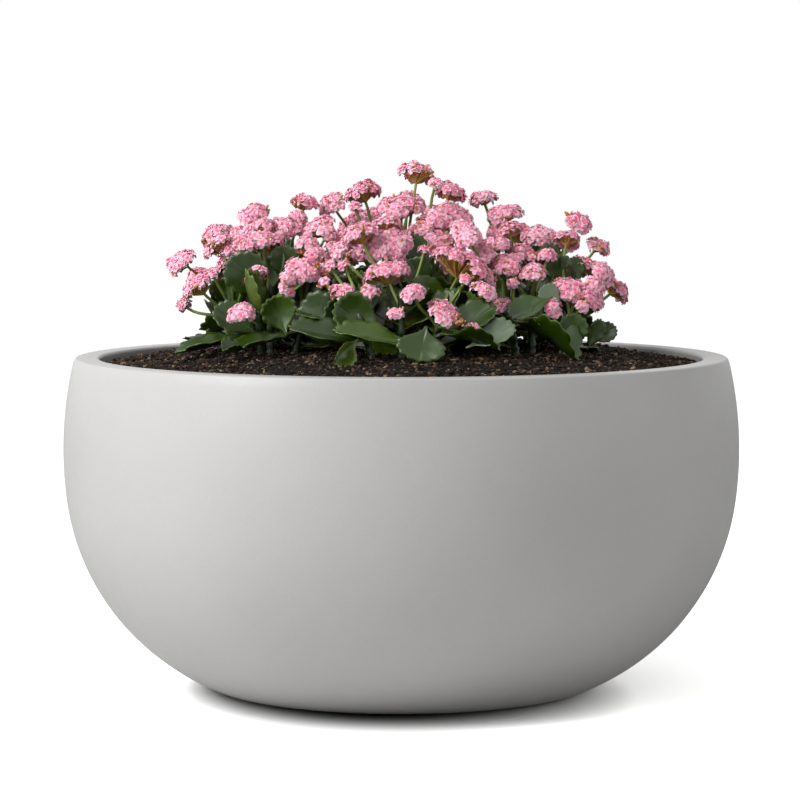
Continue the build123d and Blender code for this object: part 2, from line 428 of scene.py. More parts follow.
bowlShell = spun("fibreglassBowl", bowlProfile(), bowl["steps"], True)
only(bowlShell)
bpy.ops.object.shade_smooth_by_angle(angle=math.radians(bowl["crease"]))
finished(bowlShell, "fibreglass", fibreglass, "bowl_shell")
plainSkins = {"drain_plug": rubber, "gravel_layer": stone, "filter_fabric": cloth}
plainSkins |= {name + "_roots": earth for name in plantNames}
for name, skin in plainSkins.items():
    nodes[name].data.materials.clear()
    nodes[name].data.materials.append(skin)
print("bowl spun", len(bowlShell.data.polygons))

# the soil
soil = {
    "edgeDrop": 0.011,
    "mound": 0.0205,
    "plantRise": 0.023,
    "slope": 0.140,
    "gap": 0.0005,
    "bottom": 0.0568,
    "ring": 0.0042,
    "steps": 440,
    # swells of the surface: their size and height
    "swells": [(0.05, 0.007), (0.018, 0.008), (0.007, 0.005)],
    "swellMiddle": 0.56,
    "edgeCalm": 0.55,
    "edgeWidth": 0.03,
    "crumbInset": 0.007,
    "crumbs": 9000,  # of each kind
    # crumbs: name, shape's seed, stretch, smallest and largest size, scatter's seed, share that stands out
    "kinds": [
        ("soilCrumbsFine", 1, (1, 0.8, 0.7), (0.0020, 0.0060), 11, 0.2),
        ("soilCrumbsCoarse", 2, (1, 0.7, 0.75), (0.0024, 0.0078), 12, 0.2),
        ("soilCrumbsMixed", 3, (0.8, 1, 0.6), (0.0022, 0.0094), 13, 0.15),
    ],
    "chips": 700,
    "chip": ("barkChips", 4, (1, 0.28, 0.2), (0.004, 0.012), 14, 0.12),
}


def soilProfile():
    edge = bowl["height"] - soil["edgeDrop"]
    wallLine = wallArcs(bowl["wall"] + soil["gap"], 16, 20, bowl["height"] - bowl["wall"])
    rimRadius = wallArcs(0, 2, 2, bowl["height"])[-1][0]
    lip = rimRadius - bowl["rimWidth"] - soil["gap"]
    underLip = bowl["height"] - bowl["lipDepth"] - soil["gap"]
    flat = lip - soil["slope"]
    rings = round(lip / soil["ring"])
    top = []
    for k in range(rings + 1):
        r = lip * k / rings
        share = min(1, max(0, (lip - r) / soil["slope"]))
        smooth = share * share * (3 - 2 * share) * 0.5 + share * 0.5
        top.append((r, edge + soil["mound"] * smooth))
    side = [(lip, underLip)]
    side += [p for p in reversed(wallLine) if soil["bottom"] < p[1] < underLip]
    return top + side + [(radiusAt(wallLine, soil["bottom"]), soil["bottom"]), (0, soil["bottom"])], flat


profile, flatRadius = soilProfile()
soilBody = spun("pottingSoil", profile, soil["steps"], False)
lipRadius = flatRadius + soil["slope"]
upper = soilBody.vertex_groups.new(name="upper")
edgeHeight = bowl["height"] - soil["edgeDrop"]
for corner in soilBody.data.vertices:
    reach = math.hypot(corner.co.x, corner.co.y)
    if corner.co.z > edgeHeight - 0.0005:
        inside = min(1, (lipRadius - reach) / soil["edgeWidth"])
        upper.add([corner.index], soil["edgeCalm"] + (1 - soil["edgeCalm"]) * inside, "REPLACE")
for k, (size, height) in enumerate(soil["swells"]):
    cloud = bpy.data.textures.new(f"swell{k}", "CLOUDS")
    cloud.noise_scale = size
    cloud.noise_depth = 2
    applied(soilBody, "DISPLACE", texture=cloud, strength=height, mid_level=soil["swellMiddle"],
            direction="Z", vertex_group="upper", texture_coords="LOCAL")
soilBody.vertex_groups.clear()
only(soilBody)
bpy.ops.object.shade_smooth()
finished(soilBody, "soil", earth, "potting_soil")
print("soil laid", len(soilBody.data.polygons))

soilTree = BVHTree.FromObject(soilBody, bpy.context.evaluated_depsgraph_get())


def soilHeight(x, y):
    hit = soilTree.ray_cast(Vector((x, y, 0.6)), Vector((0, 0, -1)))[0]
    return hit.z if hit else edgeHeight


def crumbTemplate(seed, stretch):
    bpy.ops.mesh.primitive_ico_sphere_add(subdivisions=1, radius=0.5)
    crumb = bpy.context.object
    editing(crumb)
    bpy.ops.transform.vertex_random(offset=0.14, uniform=0.4, seed=seed)
    bpy.ops.transform.resize(value=stretch)
    doneEditing()
    placed(crumb)
    return crumb


def scattered(name, shapeSeed, stretch, sizes, seed, proud, count, tones):
    template = crumbTemplate(shapeSeed, stretch)
    dice = random.Random(seed)
    places, tints = [], []
    for _ in range(count):
        reach = (lipRadius - soil["crumbInset"]) * math.sqrt(dice.random())
        angle = dice.uniform(0, math.tau)
        x, y = reach * math.cos(angle), reach * math.sin(angle)
        size = sizes[0] + (sizes[1] - sizes[0]) * dice.random() ** 2.2
        turn = Matrix.Rotation(dice.uniform(0, math.tau), 4, "Z")
        turn = turn @ Matrix.Rotation(dice.uniform(-0.7, 0.7), 4, "X")
        spot = Vector((x, y, soilHeight(x, y) + size * proud))
        places.append(Matrix.Translation(spot) @ turn @ Matrix.Diagonal((size, size, size, 1)))
        tints.append(tones(dice))
    piece = copiesOf(name, template, places, tints)
    away(template)
    piece.data.polygons.foreach_set("use_smooth", [False] * len(piece.data.polygons))
    return finished(piece, "soil", crumbEarth)


def darkTone(dice):
    return dice.random() ** 2.1 * 0.86


def paleTone(dice):
    return 0.75 + dice.random() * 0.25


for kind in soil["kinds"]:
    scattered(*kind, soil["crumbs"], darkTone)
scattered(*soil["chip"], soil["chips"], paleTone)
print("crumbs scattered")

# leaves
leaf = {
    "spokes": 72,
    "rings": (0.84, 0.46),
    "lobes": 5,
    "lobeDepth": 0.066,
    "lobeRound": 0.7,
    "lobesFrom": 0.36,
    "middle": 0.60,
    "ribDepth": 0.012,
    "ribWidth": 0.03,
    "thickness": 0.017,
}
leafKinds = {
    # fold raises the halves, cup the tip and base, curl bends the tip, ripple waves the margin
    "broadLeaf": {"fold": 0.30, "cup": 0.20, "curl": -0.12, "ripple": 0.010, "twist": 0.1},
    "foldedLeaf": {"fold": 0.95, "cup": 0.15, "curl": -0.25, "ripple": 0.014, "twist": -0.25},
    "cuppedLeaf": {"fold": 0.75, "cup": 0.60, "curl": 0.10, "ripple": 0.008, "twist": 0.05},
    "droopingLeaf": {"fold": 0.40, "cup": 0.10, "curl": -0.50, "ripple": 0.014, "twist": 0.3},
    "youngLeaf": {"fold": 1.2, "cup": 0.50, "curl": 0.15, "ripple": 0.006, "twist": -0.1},
}
# one half of a blade, its length 1 from foot to tip
halfOutline = [(0, 0), (0.01, 0.03), (0.10, 0.038), (0.18, 0.08), (0.25, 0.18), (0.34, 0.31), (0.45, 0.415),
               (0.57, 0.475), (0.69, 0.48), (0.80, 0.435), (0.89, 0.35), (0.96, 0.22), (1.0, 0)]


def outlinePoint(share):
    # the leaf's plain outline, from the foot of its stalk at 0 to its tip at 1, on one side
    lengths = [0]
    for (x0, y0), (x1, y1) in zip(halfOutline, halfOutline[1:]):
        lengths.append(lengths[-1] + math.hypot(x1 - x0, y1 - y0))
    along = share * lengths[-1]
    for k in range(len(halfOutline) - 1):
        if along <= lengths[k + 1] + 1e-9:
            part = (along - lengths[k]) / (lengths[k + 1] - lengths[k])
            (x0, y0), (x1, y1) = halfOutline[k], halfOutline[k + 1]
            return x0 + (x1 - x0) * part, y0 + (y1 - y0) * part
    return halfOutline[-1]


def leafTemplate(name, fold, cup, curl, ripple, twist):
    spokes = leaf["spokes"]
    bpy.ops.mesh.primitive_circle_add(vertices=spokes, radius=1, fill_type="NOTHING")
    blade = bpy.context.object
    blade.name = name
    editing(blade)
    size = 1
    for ring in leaf["rings"]:
        bpy.ops.mesh.extrude_region_move()
        bpy.ops.transform.resize(value=(ring / size, ring / size, 1))
        size = ring
    bpy.ops.mesh.extrude_region_move()
    bpy.ops.mesh.merge(type="CENTER")
    bpy.ops.mesh.select_all(action="SELECT")
    bpy.ops.mesh.normals_make_consistent(inside=False)
    doneEditing()
    rims = []
    middle = Vector((leaf["middle"], 0, 0))
    for corner in blade.data.vertices:
        ringSize = math.hypot(corner.co.x, corner.co.y)
        angle = math.atan2(corner.co.y, corner.co.x)
        share = 1 - abs(angle) / math.pi
        x, y = outlinePoint(share)
        lobe = max(0, (share - leaf["lobesFrom"]) / (1 - leaf["lobesFrom"]))
        wave = abs(math.sin(math.pi * (lobe * leaf["lobes"] + 0.5 * (lobe > 0))))
        scallop = leaf["lobeDepth"] * (wave ** leaf["lobeRound"] - 0.5)
        out = 1 + (scallop * 2 if lobe > 0.04 else 0)
        edge = Vector((middle.x + (x - middle.x) * out, math.copysign(y * out, angle), 0))
        spot = middle.lerp(edge, ringSize) if ringSize > 0.001 else middle
        x, y = spot.x, spot.y
        z = fold * abs(y) ** 1.5 + cup * (x - 0.5) ** 2 + curl * max(0, x - 0.35) ** 2
        z += ripple * ringSize**4 * math.sin(angle * 7 + 1)
        z -= leaf["ribDepth"] * math.exp(-(y / leaf["ribWidth"]) ** 2)
        turn = twist * x
        corner.co = (x, y * math.cos(turn) - z * math.sin(turn), y * math.sin(turn) + z * math.cos(turn))
        rims.append(ringSize)
    blade.data.attributes.new("rim", "FLOAT", "POINT").data.foreach_set("value", rims)
    blade.data.update()
    applied(blade, "SOLIDIFY", thickness=leaf["thickness"], offset=0)
    return blade


leafTemplates = {name: leafTemplate(name, **kind) for name, kind in leafKinds.items()}
print("leaf kinds", len(leafTemplates["broadLeaf"].data.polygons))

# tiers of leaves up a shoot: how many, height, lift in degrees, length, width, kinds
mainTiers = [
    (4, 0.010, 10, 0.088, 0.068, ("broadLeaf", "droopingLeaf", "foldedLeaf")),
    (4, 0.032, 26, 0.084, 0.064, ("broadLeaf", "cuppedLeaf", "foldedLeaf")),
    (4, 0.056, 44, 0.078, 0.058, ("cuppedLeaf", "foldedLeaf", "broadLeaf")),
    (3, 0.078, 62, 0.064, 0.048, ("youngLeaf", "cuppedLeaf")),
]
sideTiers = [
    (3, 0.006, 6, 0.080, 0.064, ("broadLeaf", "droopingLeaf", "foldedLeaf")),
    (3, 0.022, 24, 0.076, 0.060, ("broadLeaf", "cuppedLeaf", "droopingLeaf")),
    (3, 0.038, 44, 0.066, 0.052, ("cuppedLeaf", "foldedLeaf", "broadLeaf")),
    (2, 0.050, 64, 0.050, 0.040, ("youngLeaf", "cuppedLeaf")),
]
sideReach = 0.040  # a side shoot stands this far from the middle one
sideLean = 0.30
leafFan = 78  # degrees between the leaves of a side shoot
plants = {
    "centre": {"bearing": None, "firstLeaf": 20},
    "front": {"bearing": -90, "firstLeaf": 84},
    "front_right": {"bearing": -30, "firstLeaf": 6},
    "back_right": {"bearing": 30, "firstLeaf": 40},
    "back": {"bearing": 90, "firstLeaf": 18},
    "back_left": {"bearing": 150, "firstLeaf": 2},
    "front_left": {"bearing": 210, "firstLeaf": 30},
}
plantRing = 0.200
soilTop = bowl["height"] - soil["edgeDrop"] + soil["plantRise"]


def footOf(name):
    bearing = plants[name]["bearing"]
    if bearing is None:
        return Vector((0, 0, soilTop))
    turn = math.radians(bearing)
    return Vector((plantRing * math.cos(turn), plantRing * math.sin(turn), soilTop))


def shootsOf(name, foot, dice):
    # the middle shoot and three that lean outwards: foot, axis, tiers and the way a leaning one faces
    shoots = [(foot, Vector((0, 0, 1)), mainTiers, None)]
    for k in range(3):
        turn = math.radians(plants[name]["firstLeaf"] + 120 * k + dice.uniform(-15, 15))
        out = Vector((math.cos(turn), math.sin(turn), 0))
        axis = (out * sideLean + Vector((0, 0, 1))).normalized()
        shoots.append((foot + out * sideReach, axis, sideTiers, turn))
    return shoots


def stemOf(name, spot, axis, tiers):
    # a stout stem with swollen joints where the leaves leave it
    profile = [(0, -0.012), (0.0060, -0.010), (0.0056, 0.0)]
    for _, height, *_ in tiers:
        profile += [(0.0046, height - 0.005), (0.0062, height), (0.0044, height + 0.005)]
    top = tiers[-1][1] + 0.009
    stem = spun(name + "Stem", profile + [(0.003, top), (0, top + 0.003)], 10, False)
    stem.matrix_world = Matrix.Translation(spot) @ axis.to_track_quat("Z", "Y").to_matrix().to_4x4()
    placed(stem)
    return stem


# points of a leaf that are tried against the heads, in shares of its length and width
leafSamples = [Vector(point) for point in ((0.3, 0, 0), (0.55, 0.4, 0.1), (0.55, -0.4, 0.1),
                                           (0.8, 0.35, 0.1), (0.8, -0.35, 0.1), (1, 0, 0))]

# leaves set one by one, in millimetres: foot and tip from the middle of the planter with rise above the soil,
# width, the way the face looks, kind, and tone from dark to grey
placedLeaves = {
    "front_left": [
        ((-212, -125, 19), (-295, -150, 2), 44, (-0.05, -0.35, 1), "broadLeaf", 0.3),
        ((-152, -150, 23), (-218, -195, 9), 44, (0, -0.35, 1), "broadLeaf", 0.4),
        ((-205, -200, 9), (-231, -215, 2), 26, (0, -0.3, 1), "youngLeaf", 0.1),
        ((-153, -165, 35), (-167, -160, 75), 48, (0, -1, 0.2), "cuppedLeaf", 0.5),
        ((-184, -110, 79), (-224, -115, 127), 58, (-0.3, -1, 0.3), "broadLeaf", 0.12),
        ((-184, -140, 46), (-217, -150, 104), 34, (0.95, -0.4, 0.3), "cuppedLeaf", 0.6),
        ((-153, -85, 99), (-159, -85, 141), 38, (0, -1, 0.2), "broadLeaf", 0.25),
        ((-199, -125, 30), (-246, -120, 61), 44, (-0.2, -0.8, 0.5), "broadLeaf", 0.2),
    ],
    "front": [
        ((-66, -235, 24), (-144, -230, 41), 50, (0.1, -0.6, 0.8), "broadLeaf", 0.08),
        ((-85, -200, 44), (-135, -190, 63), 44, (0, -0.6, 0.8), "foldedLeaf", 0.2),
        ((1, -245, 19), (-86, -252, 37), 46, (0, -0.55, 0.8), "broadLeaf", 0.5),
        ((-35, -218, 38), (-86, -212, 64), 56, (-0.1, -0.9, 0.4), "cuppedLeaf", 0.4),
        ((-63, -270, 21), (-89, -285, -4), 30, (0.7, -0.5, 0.4), "youngLeaf", 0.7),
        ((-64, -200, 34), (-86, -196, 76), 50, (-0.1, -1, 0.3), "cuppedLeaf", 0.25),
        ((-30, -190, 31), (-46, -186, 81), 46, (0.2, -1, 0.2), "broadLeaf", 0.1),
        ((-11, -170, 52), (-15, -168, 91), 34, (0, -1, 0.2), "broadLeaf", 0.5),
        ((30, -262, 34), (22, -278, -1), 64, (0.05, -0.95, 0.5), "broadLeaf", 0.3),
        ((60, -222, 33), (122, -216, 65), 48, (0, -0.6, 0.8), "broadLeaf", 0.25),
        ((65, -232, 28), (127, -246, 16), 42, (0, -0.4, 0.9), "foldedLeaf", 0.3),
        ((96, -238, 18), (146, -234, 42), 40, (-0.2, -0.7, 0.7), "broadLeaf", 0.95),
        ((58, -160, 79), (14, -158, 97), 40, (0, -0.5, 0.9), "broadLeaf", 0.4),
        ((38, -150, 55), (22, -148, 91), 46, (0, -1, 0.1), "broadLeaf", 0.15),
        ((32, -120, 87), (11, -118, 124), 46, (-0.2, -1, 0.2), "broadLeaf", 0.12),
        ((21, -90, 118), (14, -88, 156), 36, (0, -1, 0.2), "broadLeaf", 0.2),
        ((126, -130, 75), (107, -128, 101), 34, (0, -1, 0.4), "cuppedLeaf", 0.6),
    ],
    "front_right": [
        ((187, -170, 70), (139, -178, 51), 42, (0, -0.7, 0.7), "broadLeaf", 0.35),
        ((160, -155, 37), (231, -195, 2), 56, (0.35, -0.45, 0.8), "foldedLeaf", 0.3),
        ((223, -165, 12), (226, -165, 54), 40, (0, -1, 0.2), "broadLeaf", 0.35),
        ((247, -150, 13), (262, -150, 46), 26, (0.5, -0.9, 0.2), "broadLeaf", 0.45),
        ((256, -130, 18), (283, -130, 35), 28, (0.2, -0.8, 0.5), "broadLeaf", 0.2),
        ((205, -150, 68), (183, -150, 87), 32, (0, -1, 0.5), "broadLeaf", 0.95),
        ((214, -60, 82), (213, -60, 127), 44, (0.1, -1, 0.3), "broadLeaf", 0.45),
        ((203, -40, 105), (195, -40, 141), 32, (0.2, -1, 0.3), "broadLeaf", 0.3),
        ((234, -70, 93), (230, -70, 125), 26, (0.1, -1, 0.3), "broadLeaf", 0.15),
        ((201, -175, 38), (171, -175, 65), 40, (0, -0.7, 0.7), "broadLeaf", 0.3),
    ],
}
petiole = 1.25  # a set leaf's whole length with its stalk, for each length from foot to tip
# how near a head a leaf may come, and the room in front of it that stays free: gap and ahead in metres,
# the rest in shares of its width
headRoom = {"gap": 0.004, "heart": 0.2, "wide": 0.42, "high": 0.34, "ahead": 0.15}


def hidesHead(place):
    # true where a leaf would touch a flower head or stand in front of it
    for sample in leafSamples:
        spot = place @ sample
        for tip, axis, width in allHeads:
            gap = spot - (tip + axis * width * headRoom["heart"])
            if gap.length < width / 2 + headRoom["gap"]:
                return True
            across = abs(gap.x) < width * headRoom["wide"] and abs(gap.z) < width * headRoom["high"]
            if across and -headRoom["ahead"] < gap.y < 0:
                return True
    return False


def setLeaves(name, spots):
    for low, high, width, face, kind, tone in placedLeaves.get(name, []):
        start, end = (Vector((x, y, rise + soilTop / millimetre)) * millimetre for x, y, rise in (low, high))
        length = (end - start).length * petiole
        start = end - (end - start) * petiole
        size = (length, width * millimetre, length)
        spots[kind][0].append(basis(start, end - start, Vector(face), size))
        spots[kind][1].append(tone)


# how a shoot's own leaves vary, and where the set leaves of a plant take their place
habit = {
    "tries": 7,
    "turn": 12,
    "lift": (-9, 10),
    "roll": 0.45,
    "grow": (0.86, 1.12),
    "width": (0.92, 1.08),
    "shrink": 0.04,
    "stemGap": 0.003,
    "frontOnly": 0.2,
    "lowOnly": 0.07,
}


def grownLeaf(name, spot, axis, tier, turn, dice):
    # tries a leaf till it keeps clear of the heads, each time lower and shorter: kind, place and tone
    _, height, lift, length, width, kinds = tier
    for attempt in range(habit["tries"]):
        way = math.radians(turn + dice.uniform(-habit["turn"], habit["turn"]) * (1 + attempt / 2))
        tilt = math.radians(lift * (1 - attempt / 9) + dice.uniform(*habit["lift"]))
        out = Vector((math.cos(way), math.sin(way), 0))
        if name in placedLeaves and out.y < habit["frontOnly"] and height < habit["lowOnly"]:
            return None
        along = out * math.cos(tilt) + Vector((0, 0, math.sin(tilt)))
        up = Vector((0, 0, math.cos(tilt))) - out * math.sin(tilt)
        up.rotate(Matrix.Rotation(dice.uniform(-habit["roll"], habit["roll"]), 3, along))
        grow = dice.uniform(*habit["grow"]) * (1 - attempt * habit["shrink"])
        gap = habit["stemGap"]
        start = spot + axis * (height + dice.uniform(-gap, gap)) + out * gap
        size = (length * grow, width * grow * dice.uniform(*habit["width"]), length * grow)
        place = basis(start, along, up, size)
        if not hidesHead(place):
            kind = dice.choice(kinds)
            return kind, place, min(1, dice.random() ** 1.7 * 0.9 + (0.15 if lift > 40 else 0))
    return None


def leavesOf(name, shoots, dice):
    spots = {kind: ([], []) for kind in leafKinds}
    setLeaves(name, spots)
    for spot, axis, tiers, facing in shoots:
        bearing = plants[name]["firstLeaf"] if facing is None else math.degrees(facing)
        for tier in tiers:
            count = tier[0]
            for k in range(count):
                turn = bearing + (360 * k / count if facing is None else leafFan * (k - (count - 1) / 2))
                grown = grownLeaf(name, spot, axis, tier, turn, dice)
                if grown:
                    spots[grown[0]][0].append(grown[1])
                    spots[grown[0]][1].append(grown[2])
            bearing += 180 / count if facing is None else dice.uniform(-25, 25)
    return [copiesOf(name + kind, leafTemplates[kind], places, tints)
            for kind, (places, tints) in spots.items() if places]


headSpread = 1.15  # the loose outer florets stand this far outside the plain heads
# clusters beside the main heads, in millimetres from the plant's foot: x, y, rise, width, 1 for mostly buds
sideHeads = {
    "front_left": [(52, 30, 146, 36, 0), (78, 30, 163, 34, 0), (-53, 40, 140, 40, 0), (42, 30, 135, 29, 1),
                   (65, 5, 132, 37, 0), (88, 15, 140, 27, 0), (25, -70, 105, 21, 0), (-78, -10, 105, 19, 0),
                   (-12, 10, 155, 35, 0), (-14, 70, 169, 47, 0), (-58, 40, 142, 39, 0)],
    "back_right": [(-42, -40, 161, 34, 0)],
    "back_left": [(-46, -70, 155, 38, 0), (33, -40, 176, 27, 0)],
    "front": [(-95, 35, 119, 16, 0), (-75, 35, 116, 16, 0), (-101, 10, 97, 16, 0), (-87, 0, 89, 16, 0),
              (-73, -5, 86, 16, 0), (31, 70, 139, 18, 0), (83, 5, 98, 16, 0), (-9, -50, 61, 14, 0),
              (-43, -15, 91, 23, 0), (75, -55, 48, 13, 1), (-58, 80, 164, 57, 0), (-22, 120, 170, 52, 0),
              (-84, 70, 140, 29, 0)],
    "centre": [(-55, -70, 134, 27, 0), (11, 90, 203, 41, 0), (54, -70, 147, 45, 1), (-29, -40, 165, 40, 0),
               (-63, 20, 189, 14, 1), (74, -10, 189, 42, 0), (91, -60, 162, 47, 0), (52, -40, 180, 44, 0),
               (1, 60, 150, 56, 0), (72, 60, 140, 50, 0), (44, 95, 168, 46, 0), (47, -40, 225, 20, 0)],
    "front_right": [(-54, 90, 144, 51, 0), (-35, 30, 118, 29, 0), (-14, 50, 133, 35, 0),
                    (-27, -30, 93, 12, 0), (65, -55, 65, 18, 0), (95, 15, 111, 35, 0), (22, 30, 131, 29, 0),
                    (-48, 40, 146, 44, 0),
                    (-72, 0, 134, 47, 0), (-36, -10, 119, 39, 0), (-14, 60, 135, 36, 0), (84, -20, 93, 31, 0),
                    (-89, -20, 158, 39, 0)],
}


# a side cluster looks away from a point behind and below its plant, and hangs a share of its width lower
sideHabit = {"behind": 40, "below": 150, "hang": 0.21, "spread": 1.05}
headSides = 6  # a plain head's foot has six sides


def headsOf(nodeName):
    # tip, axis and width of every flower head, read from the plain solids
    work = bmesh.new()
    work.from_mesh(nodes[nodeName].data)
    bmesh.ops.remove_doubles(work, verts=work.verts, dist=1e-5)
    bmesh.ops.dissolve_limit(work, angle_limit=0.03, verts=work.verts, edges=work.edges)
    heads = []
    for face in work.faces:
        if len(face.verts) == headSides and face.normal.z < -0.05:
            tip = face.calc_center_median()
            heads.append((tip, -face.normal.copy(), headSpread * 2 * (face.verts[0].co - tip).length))
    work.free()
    return sorted(heads, key=lambda head: (round(head[0].x, 4), round(head[0].y, 4)))


def sideHeadsOf(name, foot):
    heads = []
    for x, y, rise, width, _ in sideHeads.get(name, []):
        axis = Vector((x, y - sideHabit["behind"], sideHabit["below"])).normalized()
        size = width * millimetre
        tip = foot + Vector((x, y, rise)) * millimetre - axis * size * sideHabit["hang"]
        heads.append((tip, axis, size * sideHabit["spread"]))
    return heads


mainHeads = {name: headsOf(name + "_flowers") for name in plantNames}
extraHeads = {name: sideHeadsOf(name, footOf(name)) for name in plantNames}
allHeads = [head for name in plantNames for head in mainHeads[name] + extraHeads[name]]


# florets and buds
floret = {
    "width": 0.0166,
    # each ring of petals: how many, length, width, lift in degrees at the foot and at the tip, height
    "petalRings": [(5, 0.50, 0.50, 14, -20, 0.0), (5, 0.40, 0.40, 40, 6, 0.05),
                   (3, 0.25, 0.30, 68, 44, 0.09)],
}


def petal(name, length, width, lift, droop):
    bpy.ops.mesh.primitive_grid_add(x_subdivisions=2, y_subdivisions=2, size=1)
    piece = bpy.context.object
    piece.name = name
    reaches = []
    for corner in piece.data.vertices:
        row, side = corner.co.x + 0.5, corner.co.y * 2
        spread = (0.16, 1.0, 0.62)[round(row * 2)]
        x = length * row * (1 - 0.16 * abs(side) * (row > 0.9))
        y = side * spread * width / 2
        tilt = math.radians(lift + (droop - lift) * row)
        z = x * math.sin(tilt) + 0.10 * width * abs(side) * row
        corner.co = (x * math.cos(tilt) + 0.03, y, z)
        reaches.append(row)
    piece.data.attributes.new("reach", "FLOAT", "POINT").data.foreach_set("value", reaches)
    return piece


def joined(name, pieces):
    only(*pieces)
    bpy.ops.object.join()
    piece = bpy.context.object
    piece.name = name
    return piece


def floretTemplate(name, seed):
    dice = random.Random(seed)
    rings = []
    for count, length, width, lift, droop, height in floret["petalRings"]:
        one = petal(name + "Petal", length, width, lift, droop)
        places = []
        offset = dice.uniform(0, 1)
        for k in range(count):
            turn = math.tau * (k + offset + dice.uniform(-0.1, 0.1)) / count
            tip = Matrix.Rotation(dice.uniform(-0.18, 0.18), 4, "Y")
            grow = dice.uniform(0.9, 1.1)
            places.append(Matrix.Translation((0, 0, height)) @ Matrix.Rotation(turn, 4, "Z") @ tip
                          @ Matrix.Scale(grow, 4))
        rings.append(copiesOf(name + "Ring", one, places))
        away(one)
    return joined(name, rings)


floretTemplates = [floretTemplate(f"floret{k}", 20 + k) for k in range(3)]


def budTemplate(name):
    bpy.ops.mesh.primitive_uv_sphere_add(segments=6, ring_count=4, radius=0.5)
    bud = bpy.context.object
    bud.name = name
    editing(bud)
    bpy.ops.transform.resize(value=(0.62, 0.62, 1))
    bpy.ops.transform.translate(value=(0, 0, 0.42))
    doneEditing()
    placed(bud)
    return bud


bud = budTemplate("closedBud")
print("florets", len(floretTemplates[0].data.polygons), "bud", len(bud.data.polygons))


def upright(spot, axis, size, turn):
    # z axis along the flower's own axis
    side = Vector((1, 0, 0)) if abs(axis.x) < 0.9 else Vector((0, 1, 0))
    frameOf = basis(spot, axis.cross(side), axis, (size, size, size))
    return frameOf @ Matrix.Rotation(turn, 4, "Z")


cluster = {
    "lobe": 0.0096,  # from the middle of a lobe of florets to the florets round it
    "smallLobe": (0.0042, 0.27),  # the least, and the share of a small head's width
    "lobeSpacing": 0.0176,
    "fill": 0.78,
    "inset": 0.0070,
    "dome": (0.25, 0.003, 0.005),  # a head's height: share of its width, less this much, at least this much
    "rise": 0.03,
    "crotch": (0.16, 0.009),  # how far under the tip the twigs part: share of the width, and the most
    "wide": (0.06, 1.12, 1.30),  # heads wider than this droop further: lean at the rim of both
    "few": 0.028,  # heads narrower than this have few florets
    "lean": 0.95,
    "skirt": 1400,  # small buds under a head, for each metre of its width
    "skirtInset": 0.0085,
}
golden = 2.399963  # the angle between one lobe and the next


def shaken(most, dice):
    return Vector([dice.uniform(-most, most) for _ in range(3)])


def budBunch(spot, facing, count, spread, peach, dice):
    bunch = []
    for _ in range(count):
        shift = shaken(spread, dice)
        bunch.append((spot + shift, (facing + shift * 40).normalized(), dice.uniform(0.0042, 0.0066),
                      min(1, dice.random() * 0.7 + peach)))
    return bunch


def lobeOf(middle, facing, fork, lobeReach, count, sides, dice):
    # a ring of florets round one in the middle, each on its own twig
    lobeSide = facing.cross(sides[1] if abs(facing.dot(sides[1])) < 0.9 else sides[0]).normalized()
    lobeOther = facing.cross(lobeSide)
    start = dice.uniform(0, math.tau)
    florets, twigs = [], []
    for n in range(count + 1):
        turn = start + math.tau * n / count
        lean = 0 if n == count else cluster["lean"] + dice.uniform(-0.15, 0.15)
        ringWay = lobeSide * math.cos(turn) + lobeOther * math.sin(turn)
        outward = ringWay * math.sin(lean) + facing * math.cos(lean)
        spot = middle + outward * lobeReach - facing * lobeReach * 0.75
        outward = (outward + facing * 0.55 + shaken(0.15, dice)).normalized()
        florets.append((spot, outward, floret["width"] * dice.uniform(0.86, 1.06)))
        twigs.append(([fork, fork.lerp(spot, 0.6), spot - outward * 0.001], 0.0009))
    return florets, twigs


